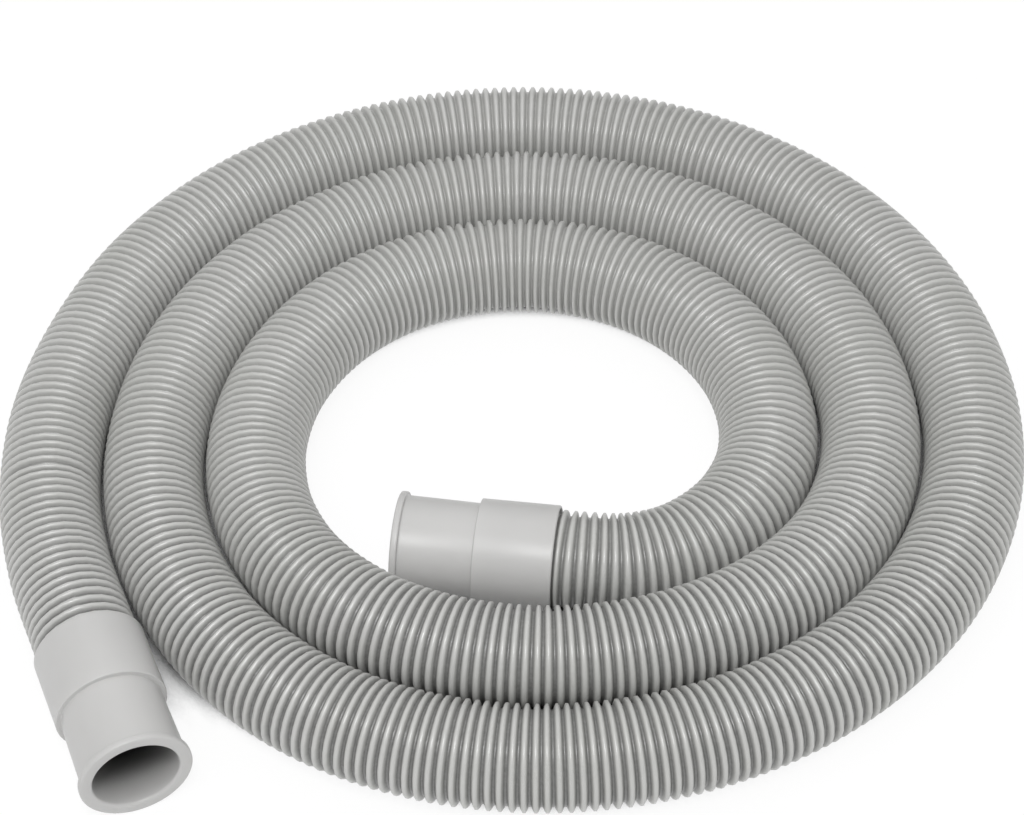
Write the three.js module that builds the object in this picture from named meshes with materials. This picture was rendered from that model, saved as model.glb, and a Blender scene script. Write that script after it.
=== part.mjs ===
import * as THREE from "three";

// A corrugated drain hose that lies coiled flat on the floor, with a straight cuff on each end.
// Units are millimetres and degrees, +Z is up and the floor is at z = 0.

// Hose
const hoseDiameter = 30.4;
const hoseWall = 2.9;
const hoseSides = 12;
const stepLength = 15;

// Cuffs: a sleeve over the hose, a slimmer neck that flares a little, and a rim round the mouth
const socketDepth = 19;
const shoulderLength = 4.1;
const neckLength = 24.2;
const mouthBore = 25;
const sleeveWall = 0.8;
const neckRootWall = 2.5;
const neckMouthWall = 2.7;
const rimProjection = 1.1;
const rimThickness = 2.1;
const sleeveEdgeRadius = 0.9;
const stepEdgeRadius = 0.5;
const rimEdgeRadius = 0.6;
const cuffSides = 40;
const edgeSteps = 3;

// Clearances
const seatClearance = 0.3;
const turnGap = 0.9;

// Coil: its turns lie side by side, slightly oval, each a little further back than the last, and
// the middle turn rides up in front
const coilCentre = [7.4, -11.8];
const driftPerTurn = 1;
const coilRadius = 100;
const middleOfCoil = 720;
const coilStart = 345;
const coilEnd = 1235;
const coilStep = 15;
const ovalTerms = [
  { waves: 2, cosine: 2.2, sine: 0 },
  { waves: 3, cosine: 0.5, sine: -0.7 },
  { waves: 4, cosine: -0.3, sine: -0.1 },
];
const rideHeight = 5.8;
const rideAngle = 612;
const rideHalfAngle = 115;

// Cuffs on the coil: the inner one is placed by its mouth and the outer one by its sleeve's edge
const innerMouth = { at: 223.7, outside: 1.35, heading: 171.3 };
const outerSleeve = { at: 1290.05, outside: 1.8, heading: -69 };
const straightLength = 7;

// Hose between the coil and each cuff: where it runs outside the coil's curve and rises to the cuff
const innerStretch = [
  { at: 288, outside: -3.5, rise: 0.5 },
  { at: 300, outside: -1.1, rise: 0.2 },
  { at: 315, outside: -0.3, rise: 0.07 },
  { at: 330, outside: -0.2, rise: 0.02 },
];
const outerStretch = [
  { at: 1250, outside: 0, rise: 0.02 },
  { at: 1265, outside: 0, rise: 0.12 },
  { at: 1277, outside: -0.1, rise: 0.4 },
];

// The coil's own origin, seen from the middle of the footprint
const routeOrigin = [-0.1, 2.3];

const hoseRadius = hoseDiameter / 2;
const hoseBore = hoseDiameter - 2 * hoseWall;
const turnSpacing = hoseDiameter + turnGap;
const socketDiameter = hoseDiameter + 2 * seatClearance;
const sleeveDiameter = socketDiameter + 2 * sleeveWall;
const neckRootDiameter = hoseBore + 2 * neckRootWall;
const neckMouthDiameter = mouthBore + 2 * neckMouthWall;
const rimDiameter = neckMouthDiameter + 2 * rimProjection;
const socketEnd = socketDepth + seatClearance;
const sleeveLength = socketEnd + shoulderLength;
const cuffLength = sleeveLength + neckLength;
const cuffAxisHeight = Math.max(sleeveDiameter, rimDiameter) / 2;
const { degToRad } = THREE.MathUtils;

// A point on the coil, or outside it: an oval whose every turn lies one spacing outside the last
function coilPoint(degrees, outside = 0, rise = 0) {
  const angle = degToRad(degrees);
  const turns = (degrees - middleOfCoil) / 360;
  let reach = coilRadius + turnSpacing * turns + outside;
  let slide = turnSpacing / (2 * Math.PI);
  for (const { waves, cosine, sine } of ovalTerms) {
    const c = Math.cos(waves * angle);
    const s = Math.sin(waves * angle);
    reach += cosine * c + sine * s;
    slide += waves * (sine * c - cosine * s);
  }
  const away = THREE.MathUtils.clamp((degrees - rideAngle) / rideHalfAngle, -1, 1);
  return new THREE.Vector3(
    coilCentre[0] + reach * Math.cos(angle) - slide * Math.sin(angle),
    coilCentre[1] + driftPerTurn * turns + reach * Math.sin(angle) + slide * Math.cos(angle),
    hoseRadius + rise + rideHeight * Math.cos((away * Math.PI) / 2) ** 2,
  );
}

// A cuff's axis, from its sleeve's edge to its mouth; the point a distance along it is set by the coil
function cuffAxis({ at, outside, heading }, distance) {
  const angle = degToRad(heading);
  const direction = new THREE.Vector3(Math.cos(angle), Math.sin(angle), 0);
  const edge = coilPoint(at, outside).setZ(cuffAxisHeight).addScaledVector(direction, -distance);
  return { edge, direction, heading };
}

const innerAxis = cuffAxis(innerMouth, cuffLength);
const outerAxis = cuffAxis(outerSleeve, 0);

function hoseRoute() {
  const beside = (stretch) => stretch.map((spot) => coilPoint(spot.at, spot.outside, spot.rise));
  const cuffEnd = ({ edge, direction }) =>
    [-straightLength, 0, socketDepth].map((d) => edge.clone().addScaledVector(direction, d));
  const turns = [];
  for (let degrees = coilStart; degrees <= coilEnd; degrees += coilStep) {
    turns.push(coilPoint(degrees));
  }
  const points = [
    ...cuffEnd(innerAxis).reverse(),
    ...beside(innerStretch),
    ...turns,
    ...beside(outerStretch),
    ...cuffEnd(outerAxis),
  ];
  const route = new THREE.CatmullRomCurve3(points, false, "centripetal");
  route.arcLengthDivisions = 20 * points.length;
  return route;
}

function hoseGeometry() {
  const section = new THREE.Shape();
  section.absarc(0, 0, hoseRadius, 0, 2 * Math.PI);
  const bore = new THREE.Path();
  bore.absarc(0, 0, hoseBore / 2, 0, 2 * Math.PI);
  section.holes.push(bore);
  const route = hoseRoute();
  return new THREE.ExtrudeGeometry(section, {
    extrudePath: route,
    steps: Math.ceil(route.getLength() / stepLength),
    curveSegments: hoseSides / 2,
  });
}

// Half section of a cuff, from the sleeve's edge over the outside to the mouth and back through the bore
function cuffGeometry() {
  const socket = socketDiameter / 2;
  const sleeve = sleeveDiameter / 2;
  const rim = rimDiameter / 2;
  const rimBack = cuffLength - rimThickness;
  const mouth = mouthBore / 2;
  const half = new THREE.Path();
  half.moveTo(socket, 0);
  half.lineTo(sleeve - sleeveEdgeRadius / 2, 0);
  half.quadraticCurveTo(sleeve, 0, sleeve, sleeveEdgeRadius);
  half.lineTo(sleeve, sleeveLength - stepEdgeRadius);
  half.quadraticCurveTo(sleeve, sleeveLength, sleeve - stepEdgeRadius, sleeveLength);
  half.lineTo(neckRootDiameter / 2, sleeveLength);
  half.lineTo(neckMouthDiameter / 2, rimBack);
  half.lineTo(rim - rimEdgeRadius, rimBack);
  half.quadraticCurveTo(rim, rimBack, rim, rimBack + rimEdgeRadius);
  half.lineTo(rim, cuffLength - rimEdgeRadius);
  half.quadraticCurveTo(rim, cuffLength, rim - rimEdgeRadius, cuffLength);
  half.lineTo(mouth + rimEdgeRadius, cuffLength);
  half.quadraticCurveTo(mouth, cuffLength, mouth, cuffLength - rimEdgeRadius);
  half.lineTo(hoseBore / 2, socketEnd);
  half.lineTo(socket, socketEnd);
  half.closePath();
  return new THREE.LatheGeometry(half.getPoints(edgeSteps), cuffSides);
}

function cuff(name, { edge, heading }, material) {
  const mesh = new THREE.Mesh(cuffGeometry(), material);
  mesh.name = name;
  mesh.position.copy(edge);
  mesh.rotation.z = degToRad(heading - 90);
  return mesh;
}

const hoseMaterial = new THREE.MeshStandardMaterial({
  color: 0xb9b9b3,
  roughness: 0.5,
  metalness: 0,
});
const cuffMaterial = new THREE.MeshStandardMaterial({
  color: 0xc6c5c3,
  roughness: 0.45,
  metalness: 0,
});

const hose = new THREE.Mesh(hoseGeometry(), hoseMaterial);
hose.name = "hose";

const group = new THREE.Group();
group.add(hose);
group.add(cuff("inner_cuff", innerAxis, cuffMaterial));
group.add(cuff("outer_cuff", outerAxis, cuffMaterial));
group.position.set(...routeOrigin, 0);

export default group;
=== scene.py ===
# A corrugated drain hose that lies coiled flat on the floor, with a moulded cuff on each end
import math

import bpy
import numpy as np
from mathutils import Matrix, Vector


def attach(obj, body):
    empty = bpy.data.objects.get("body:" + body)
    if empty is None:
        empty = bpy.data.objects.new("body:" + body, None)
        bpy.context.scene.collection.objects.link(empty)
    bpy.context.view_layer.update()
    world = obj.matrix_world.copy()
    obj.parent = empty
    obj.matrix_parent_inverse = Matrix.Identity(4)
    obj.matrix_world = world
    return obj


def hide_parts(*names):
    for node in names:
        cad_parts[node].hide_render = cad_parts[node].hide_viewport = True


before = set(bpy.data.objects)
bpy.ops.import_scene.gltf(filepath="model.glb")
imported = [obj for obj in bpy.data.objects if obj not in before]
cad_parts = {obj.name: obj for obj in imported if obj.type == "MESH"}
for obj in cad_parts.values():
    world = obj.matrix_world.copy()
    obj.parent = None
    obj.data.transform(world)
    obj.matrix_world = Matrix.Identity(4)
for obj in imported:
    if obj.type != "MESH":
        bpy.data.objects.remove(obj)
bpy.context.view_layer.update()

MM = 0.001

# Sizes of the hose and its cuffs, in millimetres
HOSE_DIAMETER = 30.4
HOSE_BORE = 24.6
TURN_SPACING = 31.3
SLEEVE_DIAMETER = 32.6
SLEEVE_LENGTH = 23.4
SOCKET_DEPTH = 19.0
NECK_ROOT_DIAMETER = 29.6
NECK_MOUTH_DIAMETER = 30.4
NECK_LENGTH = 24.2
MOUTH_BORE = 25.0
RIM_DIAMETER = 32.6
RIM_THICKNESS = 2.1
SEAT_CLEARANCE = 0.3
CUFF_LENGTH = SLEEVE_LENGTH + NECK_LENGTH
CUFF_AXIS_HEIGHT = max(SLEEVE_DIAMETER, RIM_DIAMETER) / 2

# Cuff edges: how far from the corner of the section each rounding begins, in millimetres
SOCKET_EDGE = 0.2
SLEEVE_EDGE = 0.6
STEP_EDGE = 0.4
RIM_ROOT = 0.5
RIM_BACK_EDGE = 0.6
RIM_FRONT_EDGE = 0.7
MOUTH_EDGE = 1.0
THROAT_EDGE = 0.3
ROUNDING_STEPS = 4
CUFF_SIDES = 96

# The route that the hose follows, in millimetres and degrees, as in the solid model
ROUTE_ORIGIN = (-0.1, 2.3)
COIL_CENTRE = (7.4, -11.8)
DRIFT_PER_TURN = 1.0
COIL_RADIUS = 100.0
MIDDLE_OF_COIL = 720.0
COIL_ANGLES = range(345, 1236, 15)
OVAL_TERMS = ((2, 2.2, 0.0), (3, 0.5, -0.7), (4, -0.3, -0.1))
RIDE_HEIGHT = 5.8
RIDE_CENTRE = 612.0
RIDE_HALF_WIDTH = 115.0
STRAIGHT_LENGTH = 7.0
# Each cuff: the angle on the coil, how far outside it, and the cuff's heading; the inner one
# is placed by its mouth and the outer one by its sleeve's edge
INNER_MOUTH = (223.7, 1.35, 171.3)
OUTER_SLEEVE = (1290.05, 1.8, -69.0)
# Between the coil and each cuff: the angle, how far outside the coil's curve, and the rise
INNER_STRETCH = ((288, -3.5, 0.5), (300, -1.1, 0.2), (315, -0.3, 0.07), (330, -0.2, 0.02))
OUTER_STRETCH = ((1250, 0, 0.02), (1265, 0, 0.12), (1277, -0.1, 0.4))
POINTS_PER_SPAN = 60
# The hose's direction at a point is taken between two points this far from it, in millimetres
TANGENT_REACH = 1.5

# Ribs, in millimetres. Each ring of the profile has its place, as a share of the pitch, and its
# depth below the crest, as a share of the groove's depth.
RIB_PITCH = 3.02
RIB_DEPTH = 1.7
RIB_PROFILE = ((0.00, 1.0), (0.22, 1.0), (0.35, 0.40), (0.49, 0.0), (0.73, 0.0), (0.87, 0.40))
RIB_SIDES = 24
# How far the ribs stray along the hose, as a share of the pitch
RIB_WANDER = 0.018
RIB_SEED = 7
# One groove on the left of the outer turn stands open: its rib, and how much wider and deeper
# it is, as shares of the pitch and of the depth
OPEN_GROOVE = 605
OPEN_GROOVE_WIDER = 0.14
OPEN_GROOVE_DEEPER = 0.2
BORE_STEP = 6.0

# Plastics, with linear colours. The grooves carry painted shade, darker than the crests, which
# turns from pale to grey between two places along Y, in metres.
PLASTIC_IOR = 1.5
HOSE_PALE = (0.580, 0.580, 0.565, 1)
HOSE_WARM = (0.545, 0.547, 0.527, 1)
GROOVE_PAINTED_SHADE_PALE = (0.352, 0.352, 0.341, 1)
GROOVE_PAINTED_SHADE_GREY = (0.160, 0.160, 0.156, 1)
PAINTED_SHADE_PALE_FROM = 0.01
PAINTED_SHADE_GREY_FROM = -0.09
CUFF_PALE = (0.600, 0.596, 0.588, 1)
CUFF_WARM = (0.580, 0.576, 0.568, 1)
CUFF_BORE_PAINTED_SHADE = (0.06, 0.06, 0.059, 1)

# Floor: it glows white to the camera, except in narrow gaps, where little of the sky is open; there
# it is painted dark, as painted shade
WHITE = (1, 1, 1, 1)
FLOOR_HALF = 6.0
FLOOR_HEIGHT = -0.0002
FLOOR_GLOW = 1.03
FLOOR_GLOW_SHARE = 0.88
FLOOR_OPEN = (0.9, 0.9, 0.9, 1)
FLOOR_GAP_PAINTED_SHADE = (0.10, 0.10, 0.10, 1)
GAP_REACH = 0.05
GAP_DARK_BELOW = 0.10
GAP_OPEN_ABOVE = 0.16

# Light: each lamp's name, azimuth and elevation in degrees, distance and width in metres, and
# watts; and the strength of the world's white, on the object and as the camera sees it
LAMPS = (
    ("key", -45, 66, 1.6, 1.0, 4.5),
    ("front", 3, 64, 1.7, 0.4, 10),
    ("back", 180, 60, 1.7, 1.5, 3.5),
)
WORLD_LIGHT = 0.445
WORLD_SEEN = 1.0

# Camera: how the photograph was taken, from straight in front
PICTURE_WIDTH = 1024
FOCAL_PIXELS = 2688.5
CAMERA_DISTANCE = 834.2
CAMERA_ELEVATION = 48.0
CAMERA_ROLL = -1.391
SENSOR_WIDTH = 36.0
CLIP_NEAR = 0.05
CLIP_FAR = 20


def coil_point(degrees, outside=0, rise=0):
    """A point on the coil, or outside it: an oval whose every turn lies outside the last."""
    angle = math.radians(degrees)
    turns = (degrees - MIDDLE_OF_COIL) / 360
    reach = COIL_RADIUS + TURN_SPACING * turns + outside
    slide = TURN_SPACING / (2 * math.pi)
    for waves, cosine, sine in OVAL_TERMS:
        c = math.cos(waves * angle)
        s = math.sin(waves * angle)
        reach += cosine * c + sine * s
        slide += waves * (sine * c - cosine * s)
    away = min(1, max(-1, (degrees - RIDE_CENTRE) / RIDE_HALF_WIDTH))
    x = COIL_CENTRE[0] + reach * math.cos(angle) - slide * math.sin(angle)
    y = COIL_CENTRE[1] + DRIFT_PER_TURN * turns + reach * math.sin(angle) + slide * math.cos(angle)
    return (x, y, HOSE_DIAMETER / 2 + rise + RIDE_HEIGHT * math.cos(away * math.pi / 2) ** 2)


def cuff_axis(spot, distance):
    """A cuff's sleeve edge and heading, from a spot on its axis at a distance from that edge."""
    degrees, outside, heading = spot
    x, y, _ = coil_point(degrees, outside)
    angle = math.radians(heading)
    return (x - distance * math.cos(angle), y - distance * math.sin(angle), heading)


def cuff_point(axis, distance):
    x, y, heading = axis
    angle = math.radians(heading)
    return (x + distance * math.cos(angle), y + distance * math.sin(angle), CUFF_AXIS_HEIGHT)


def control_points(inner_axis, outer_axis):
    def cuff_end(axis):
        return [cuff_point(axis, d) for d in (-STRAIGHT_LENGTH, 0, SOCKET_DEPTH)]

    points = cuff_end(inner_axis)[::-1] + [coil_point(*spot) for spot in INNER_STRETCH]
    points += [coil_point(degrees) for degrees in COIL_ANGLES]
    points += [coil_point(*spot) for spot in OUTER_STRETCH] + cuff_end(outer_axis)
    shift = np.array([*ROUTE_ORIGIN, 0])
    return (np.array(points, float) + shift) * MM


def centripetal(points, per_span):
    """Points along the centripetal Catmull-Rom curve through the given ones."""
    points = np.vstack([2 * points[0] - points[1], points, 2 * points[-1] - points[-2]])
    made = []
    for p0, p1, p2, p3 in zip(points, points[1:], points[2:], points[3:]):
        d0, d1, d2 = (np.linalg.norm(b - a) ** 0.5 for a, b in ((p0, p1), (p1, p2), (p2, p3)))
        out = ((p1 - p0) / d0 - (p2 - p0) / (d0 + d1) + (p2 - p1) / d1) * d1
        back = ((p2 - p1) / d1 - (p3 - p1) / (d1 + d2) + (p3 - p2) / d2) * d1
        t = np.linspace(0, 1, per_span, endpoint=False)[:, None]
        made.append(
            p1
            + out * t
            + (3 * (p2 - p1) - 2 * out - back) * t**2
            + (2 * (p1 - p2) + out + back) * t**3
        )
    return np.vstack(made + [points[-2][None]])


class Route:
    """The hose's centreline, by the distance along it in metres."""

    def __init__(self, line):
        self.line = line
        steps = np.linalg.norm(np.diff(line, axis=0), axis=1)
        self.along = np.concatenate([[0], np.cumsum(steps)])
        self.length = self.along[-1]

    def at(self, s):
        return np.stack([np.interp(s, self.along, self.line[:, k]) for k in range(3)], -1)

    def frames(self, s):
        """Centres, and two directions across the hose: sideways, and as near to up as it goes."""
        reach = TANGENT_REACH * MM
        centres = self.at(s)
        ahead = self.at(np.minimum(s + reach, self.length)) - self.at(np.maximum(s - reach, 0))
        ahead /= np.linalg.norm(ahead, axis=1)[:, None]
        side = np.cross(ahead, [0, 0, 1.0])
        side /= np.linalg.norm(side, axis=1)[:, None]
        return centres, side, np.cross(side, ahead)


def new_object(name, vertices, faces):
    mesh = bpy.data.meshes.new(name)
    mesh.from_pydata([tuple(v) for v in vertices], [], faces)
    mesh.update()
    mesh.polygons.foreach_set("use_smooth", [True] * len(mesh.polygons))
    made = bpy.data.objects.new(name, mesh)
    bpy.context.scene.collection.objects.link(made)
    return made


def circles(centres, side, up, radii, sides):
    """Rings of vertices round the centres, in the plane of two directions."""
    angles = np.arange(sides)[:, None] * 2 * math.pi / sides
    spread = np.cos(angles) * side[..., None, :] + np.sin(angles) * up[..., None, :]
    return centres[:, None, :] + radii[:, None, None] * spread


def new_tube(name, rings):
    """A tube through rings of vertices, in order, and from the last back to the first."""
    count, sides = rings.shape[:2]
    here = np.arange(count * sides).reshape(count, sides)
    following = np.roll(here, -1, axis=0)
    quads = np.stack(
        [here, np.roll(here, -1, axis=1), np.roll(following, -1, axis=1), following], -1
    )
    return new_object(name, rings.reshape(-1, 3), quads.reshape(-1, 4).tolist())


def mark_rings(tube, name, values, sides):
    """A number for each ring of a tube, kept on its vertices for the material to read."""
    attribute = tube.data.attributes.new(name, "FLOAT", "POINT")
    attribute.data.foreach_set("value", np.repeat(values, sides))


def rib_rings(length):
    """Where the rings of the ribbed outside lie along the hose, and their shares of the depth."""
    rng = np.random.default_rng(RIB_SEED)
    pitch = RIB_PITCH * MM
    ribs = int(length / pitch)
    start = (length - ribs * pitch) / 2
    spots = [0]
    depths = [1]
    for rib in range(ribs):
        wander = rng.normal(0, RIB_WANDER)
        deeper = 0
        if rib == OPEN_GROOVE:
            wander = OPEN_GROOVE_WIDER
            deeper = OPEN_GROOVE_DEEPER
        for share, depth in RIB_PROFILE:
            # A rib's first ring stays, and the others stray with it
            spots.append(start + (rib + share + wander * (share > 0)) * pitch)
            depths.append(depth + deeper * (depth == 1))
    return np.array([*spots, length]), np.array([*depths, 1])


def make_hose(route):
    spots, depths = rib_rings(route.length)
    outer = HOSE_DIAMETER / 2 * MM - depths * RIB_DEPTH * MM
    bore_spots = np.linspace(route.length, 0, int(route.length / (BORE_STEP * MM)))
    bore = np.full(len(bore_spots), HOSE_BORE / 2 * MM)
    centres, side, up = route.frames(np.concatenate([spots, bore_spots]))
    radii = np.concatenate([outer, bore])
    hose = new_tube("ribbed_hose", circles(centres, side, up, radii, RIB_SIDES))
    # The groove depth is kept for the material, which paints shade into the grooves by it
    groove = np.concatenate([depths, np.ones(len(bore_spots))])
    mark_rings(hose, "groove", groove, RIB_SIDES)
    return hose


def rounded(corners):
    """A closed profile of (radius, distance, rounding) corners, each rounded by a quadratic arc."""
    made = []
    count = len(corners)
    for i, (r, z, rounding) in enumerate(corners):
        here = np.array([r, z])
        before = np.array(corners[i - 1][:2])
        after = np.array(corners[(i + 1) % count][:2])
        if rounding <= 0:
            made.append(here)
            continue
        a = here + (before - here) / np.linalg.norm(before - here) * rounding
        b = here + (after - here) / np.linalg.norm(after - here) * rounding
        for t in np.linspace(0, 1, ROUNDING_STEPS + 1):
            made.append((1 - t) ** 2 * a + 2 * t * (1 - t) * here + t**2 * b)
    return np.array(made)


def make_cuff(name, axis):
    sleeve = SLEEVE_DIAMETER / 2
    rim = RIM_DIAMETER / 2
    rim_back = CUFF_LENGTH - RIM_THICKNESS
    socket = HOSE_DIAMETER / 2 + SEAT_CLEARANCE
    shoulder = SOCKET_DEPTH + SEAT_CLEARANCE
    profile = rounded(
        (
            (socket, 0, SOCKET_EDGE),
            (sleeve, 0, SLEEVE_EDGE),
            (sleeve, SLEEVE_LENGTH, STEP_EDGE),
            (NECK_ROOT_DIAMETER / 2, SLEEVE_LENGTH, STEP_EDGE),
            (NECK_MOUTH_DIAMETER / 2, rim_back, RIM_ROOT),
            (rim, rim_back, RIM_BACK_EDGE),
            (rim, CUFF_LENGTH, RIM_FRONT_EDGE),
            (MOUTH_BORE / 2, CUFF_LENGTH, MOUTH_EDGE),
            (HOSE_BORE / 2, shoulder, THROAT_EDGE),
            (socket, shoulder, 0),
        )
    )
    radii = profile[:, 0]
    distances = profile[:, 1]
    x, y, heading = axis
    angle = math.radians(heading)
    ahead = np.array([math.cos(angle), math.sin(angle), 0])
    side = np.array([math.sin(angle), -math.cos(angle), 0])
    up = np.array([0, 0, 1.0])
    base = np.array([x + ROUTE_ORIGIN[0], y + ROUTE_ORIGIN[1], CUFF_AXIS_HEIGHT])
    centres = base + distances[:, None] * ahead
    cuff = new_tube(name, circles(centres, side, up, radii, CUFF_SIDES) * MM)
    # How deep each point of the bore lies behind the mouth, from 0 to 1; 0 outside. The material
    # paints shade into the bore by it.
    depth = np.clip((CUFF_LENGTH - distances) / (CUFF_LENGTH - shoulder), 0, 1)
    depth *= radii <= MOUTH_BORE / 2 + 0.01
    mark_rings(cuff, "inside", depth, CUFF_SIDES)
    return cuff


def place_camera():
    data = bpy.data.cameras.new("camera")
    data.sensor_width = SENSOR_WIDTH
    data.lens = FOCAL_PIXELS / PICTURE_WIDTH * SENSOR_WIDTH
    data.clip_start = CLIP_NEAR
    data.clip_end = CLIP_FAR
    camera = bpy.data.objects.new("camera", data)
    bpy.context.scene.collection.objects.link(camera)
    elevation = math.radians(CAMERA_ELEVATION)
    roll = math.radians(CAMERA_ROLL)
    back = Vector((0, -math.cos(elevation), math.sin(elevation)))
    right = Vector((1, 0, 0))
    up = Vector((0, math.sin(elevation), math.cos(elevation)))
    target = Vector((*ROUTE_ORIGIN, HOSE_DIAMETER / 2)) * MM
    turned_right = math.cos(roll) * right + math.sin(roll) * up
    turned_up = math.cos(roll) * up - math.sin(roll) * right
    place = target + back * CAMERA_DISTANCE * MM
    columns = (turned_right, turned_up, back, place)
    rows = [[column[k] for column in columns] for k in range(3)]
    camera.matrix_world = Matrix([*rows, (0, 0, 0, 1)])
    bpy.context.scene.camera = camera


class Nodes:
    """Short calls for building one tree of shader nodes."""

    def __init__(self, tree):
        self.tree = tree
        self.tree.nodes.clear()

    def add(self, kind, inputs=None, **settings):
        node = self.tree.nodes.new(kind)
        for key, value in settings.items():
            setattr(node, key, value)
        for key, value in (inputs or {}).items():
            if isinstance(value, bpy.types.NodeSocket):
                self.tree.links.new(value, node.inputs[key])
            else:
                node.inputs[key].default_value = value
        return node

    def mix(self, factor, first, second):
        inputs = {0: factor, 6: first, 7: second}
        return self.add("ShaderNodeMix", inputs, data_type="RGBA").outputs[2]

    def span(self, value, from_low, from_high, low, high):
        inputs = {0: value, 1: from_low, 2: from_high, 3: low, 4: high}
        return self.add("ShaderNodeMapRange", inputs).outputs[0]

    def combine(self, operation, first, second):
        return self.add("ShaderNodeMath", {0: first, 1: second}, operation=operation).outputs[0]

    def noise(self, place, scale, detail, roughness):
        inputs = {"Vector": place, "Scale": scale, "Detail": detail, "Roughness": roughness}
        return self.add("ShaderNodeTexNoise", inputs).outputs[0]

    def bump(self, height, strength, distance):
        inputs = {"Height": height, "Strength": strength, "Distance": distance}
        return self.add("ShaderNodeBump", inputs).outputs[0]


def new_material(name):
    material = bpy.data.materials.new(name)
    material.use_nodes = True
    return material, Nodes(material.node_tree)


def hose_plastic():
    material, n = new_material("hose_plastic")
    place = n.add("ShaderNodeTexCoord").outputs["Object"]
    groove = n.add("ShaderNodeAttribute", attribute_name="groove").outputs["Fac"]
    cloud = n.noise(place, 22.0, 4.0, 0.55)
    fine = n.noise(place, 900.0, 3.0, 0.6)
    crest = n.mix(n.span(cloud, 0.35, 0.65, 0.0, 1.0), HOSE_PALE, HOSE_WARM)
    # Painted shade: the grooves are painted greyer on the side of the coil where the outer cuff
    # opens, towards the front
    y = n.add("ShaderNodeSeparateXYZ", {"Vector": place}).outputs["Y"]
    front_painted_shade = n.span(y, PAINTED_SHADE_GREY_FROM, PAINTED_SHADE_PALE_FROM, 1.0, 0.0)
    floor = n.mix(front_painted_shade, GROOVE_PAINTED_SHADE_PALE, GROOVE_PAINTED_SHADE_GREY)
    floor = n.mix(n.span(fine, 0.3, 0.7, 0.0, 0.16), floor, crest)
    # Painted shade: the walls and floors of the grooves are painted darker than the crests
    colour = n.mix(n.span(groove, 0.10, 0.90, 0.0, 1.0), crest, floor)
    rough = n.span(cloud, 0.3, 0.7, 0.30, 0.36)
    # The tops of the ribs and the floors of the grooves shine more than the walls between them
    top = n.span(groove, 0.0, 0.10, 1.0, 0.2)
    deep = n.span(groove, 0.90, 1.0, 0.0, 0.8)
    shader = n.add(
        "ShaderNodeBsdfPrincipled",
        {
            "Base Color": colour,
            "Roughness": rough,
            "Specular IOR Level": n.combine("ADD", top, deep),
            "IOR": PLASTIC_IOR,
            "Normal": n.bump(fine, 0.12, 0.0002),
        },
    )
    n.add("ShaderNodeOutputMaterial", {"Surface": shader.outputs[0]})
    return material


def cuff_plastic():
    material, n = new_material("cuff_plastic")
    place = n.add("ShaderNodeTexCoord").outputs["Object"]
    cloud = n.noise(place, 30.0, 3.0, 0.5)
    fine = n.noise(place, 1500.0, 2.0, 0.5)
    colour = n.mix(n.span(cloud, 0.35, 0.65, 0.0, 1.0), CUFF_PALE, CUFF_WARM)
    # Painted shade: the bore is painted darker with its depth
    inside = n.add("ShaderNodeAttribute", attribute_name="inside").outputs["Fac"]
    colour = n.mix(n.span(inside, 0.0, 0.6, 0.0, 1.0), colour, CUFF_BORE_PAINTED_SHADE)
    shader = n.add(
        "ShaderNodeBsdfPrincipled",
        {
            "Base Color": colour,
            "Roughness": n.span(cloud, 0.3, 0.7, 0.34, 0.42),
            "IOR": PLASTIC_IOR,
            "Normal": n.bump(fine, 0.06, 0.0001),
            "Subsurface Weight": 0.2,
            "Subsurface Radius": (1.0, 1.0, 1.0),
            "Subsurface Scale": 0.004,
        },
    )
    n.add("ShaderNodeOutputMaterial", {"Surface": shader.outputs[0]})
    return material


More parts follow.
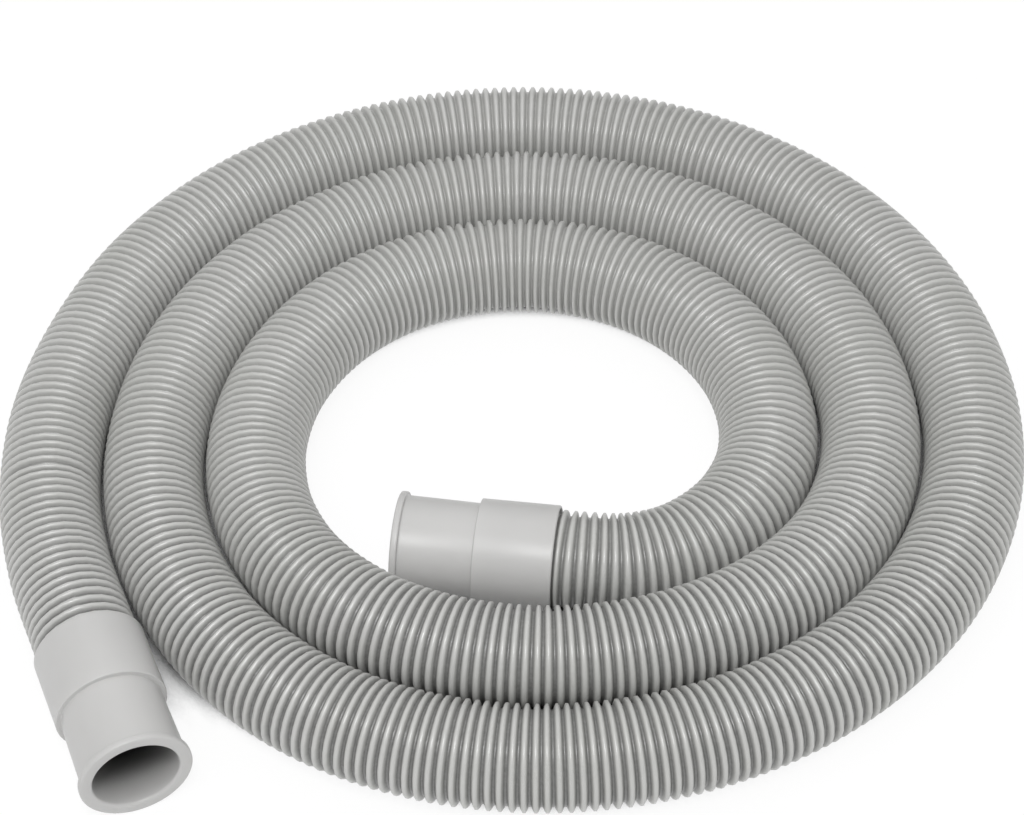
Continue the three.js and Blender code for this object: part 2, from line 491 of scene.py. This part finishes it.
def floor_material():
    material, n = new_material("floor_white")
    path = n.add("ShaderNodeLightPath").outputs
    seen = n.combine("MAXIMUM", path["Is Camera Ray"], path["Is Glossy Ray"])
    seen = n.combine("MAXIMUM", seen, path["Is Transmission Ray"])
    # Painted shade: the narrow gaps between the turns are painted dark, where ambient occlusion
    # finds little open sky
    sky = n.add("ShaderNodeAmbientOcclusion", {"Distance": GAP_REACH}).outputs["AO"]
    share = n.span(sky, GAP_DARK_BELOW, GAP_OPEN_ABOVE, 0.0, FLOOR_GLOW_SHARE)
    shade = n.mix(n.span(sky, GAP_DARK_BELOW, GAP_OPEN_ABOVE, 0.0, 1.0), FLOOR_GAP_PAINTED_SHADE, FLOOR_OPEN)
    matte = n.add("ShaderNodeBsdfDiffuse", {"Color": shade}).outputs[0]
    glow = n.add("ShaderNodeEmission", {"Color": WHITE, "Strength": FLOOR_GLOW}).outputs[0]
    surface = n.add(
        "ShaderNodeMixShader", {0: n.combine("MULTIPLY", seen, share), 1: matte, 2: glow}
    )
    n.add("ShaderNodeOutputMaterial", {"Surface": surface.outputs[0]})
    return material


def make_floor():
    corners = [
        (FLOOR_HALF * x, FLOOR_HALF * y, FLOOR_HEIGHT)
        for x, y in ((-1, -1), (1, -1), (1, 1), (-1, 1))
    ]
    floor = new_object("floor", corners, [(0, 1, 2, 3)])
    floor.data.materials.append(floor_material())


def place_lamp(name, azimuth, elevation, distance, width, watts):
    data = bpy.data.lights.new(name, "AREA")
    data.shape = "DISK"
    data.size = width
    data.energy = watts
    lamp = bpy.data.objects.new(name, data)
    bpy.context.scene.collection.objects.link(lamp)
    a = math.radians(azimuth)
    e = math.radians(elevation)
    away = Vector((math.sin(a) * math.cos(e), -math.cos(a) * math.cos(e), math.sin(e)))
    lamp.location = away * distance
    lamp.rotation_euler = away.to_track_quat("Z", "Y").to_euler()


def light_world():
    world = bpy.data.worlds.new("world")
    world.use_nodes = True
    bpy.context.scene.world = world
    n = Nodes(world.node_tree)
    seen = n.add("ShaderNodeLightPath").outputs["Is Camera Ray"]
    strength = n.span(seen, 0.0, 1.0, WORLD_LIGHT, WORLD_SEEN)
    back = n.add("ShaderNodeBackground", {"Color": WHITE, "Strength": strength})
    n.add("ShaderNodeOutputWorld", {"Surface": back.outputs[0]})


place_camera()
inner_axis = cuff_axis(INNER_MOUTH, CUFF_LENGTH)
outer_axis = cuff_axis(OUTER_SLEEVE, 0)
route = Route(centripetal(control_points(inner_axis, outer_axis), POINTS_PER_SPAN))
hose = make_hose(route)
inner_cuff = make_cuff("inner_cuff_moulded", inner_axis)
outer_cuff = make_cuff("outer_cuff_moulded", outer_axis)
hose.data.materials.append(hose_plastic())
cuff_look = cuff_plastic()
for piece, node in ((inner_cuff, "inner_cuff"), (outer_cuff, "outer_cuff")):
    piece.data.materials.append(cuff_look)
    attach(piece, "root")
    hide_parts(node)
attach(hose, "root")
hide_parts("hose")

make_floor()
for lamp in LAMPS:
    place_lamp(*lamp)
light_world()
bpy.context.scene.view_settings.view_transform = "Standard"
